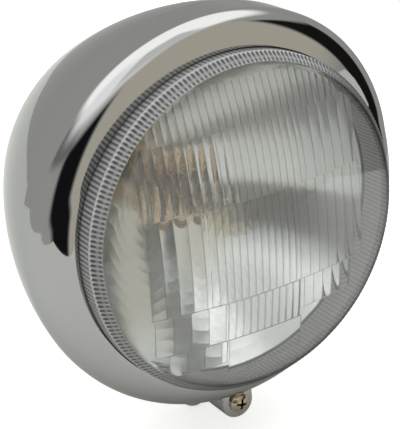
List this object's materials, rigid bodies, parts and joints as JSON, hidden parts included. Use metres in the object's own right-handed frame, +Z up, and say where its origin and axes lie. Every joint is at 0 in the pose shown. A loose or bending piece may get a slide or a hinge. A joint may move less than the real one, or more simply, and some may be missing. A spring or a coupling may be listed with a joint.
{
  "type": "motorcycle headlight",
  "caption": "Round chrome motorcycle headlight with a shallow brow, a fluted glass lens with a knurled edge and one bezel screw below.",
  "frame": {"origin": "on the mounting stud's axis, in the plane of the saddle's flat foot", "axes": "+Z up along the stud, the lamp looks along -Y, +X to the right of someone who faces the lens"},
  "size_m": [0.1766, 0.1521, 0.1992],
  "materials": {
    "chrome": "mirror",
    "lens_glass": "clear",
    "reflector_metal": "mirror",
    "bulb_clear": "clear",
    "wire": "drawn",
    "zinc": "zinc plated",
    "pressed_steel": "satin",
    "brass": "satin",
    "phenolic": "matte",
    "rubber": "matte",
    "sealant": "matte"
  },
  "bodies": {
    "root": {"bezel": "chrome", "bucket": "chrome", "lens": "lens_glass", "lens_gasket": "rubber", "lens_seal": "sealant", "reflector": "reflector_metal", "clip_ledge": "pressed_steel", "unit_clips": "pressed_steel", "hook_plate": "pressed_steel", "bulb_holder": "pressed_steel", "bulb_glass": "bulb_clear", "bulb_filaments": "wire", "bulb_shield": "wire", "bulb_base": "pressed_steel", "bulb_insulator": "phenolic", "bulb_contacts": "brass", "bulb_spring": "wire", "dust_boot": "rubber", "bezel_screw": "zinc", "lug_nut": "zinc", "cable_grommet": "rubber", "mount_stud": "zinc", "stud_plate": "pressed_steel", "mount_saddle": "chrome"}
  },
  "joints": []
}
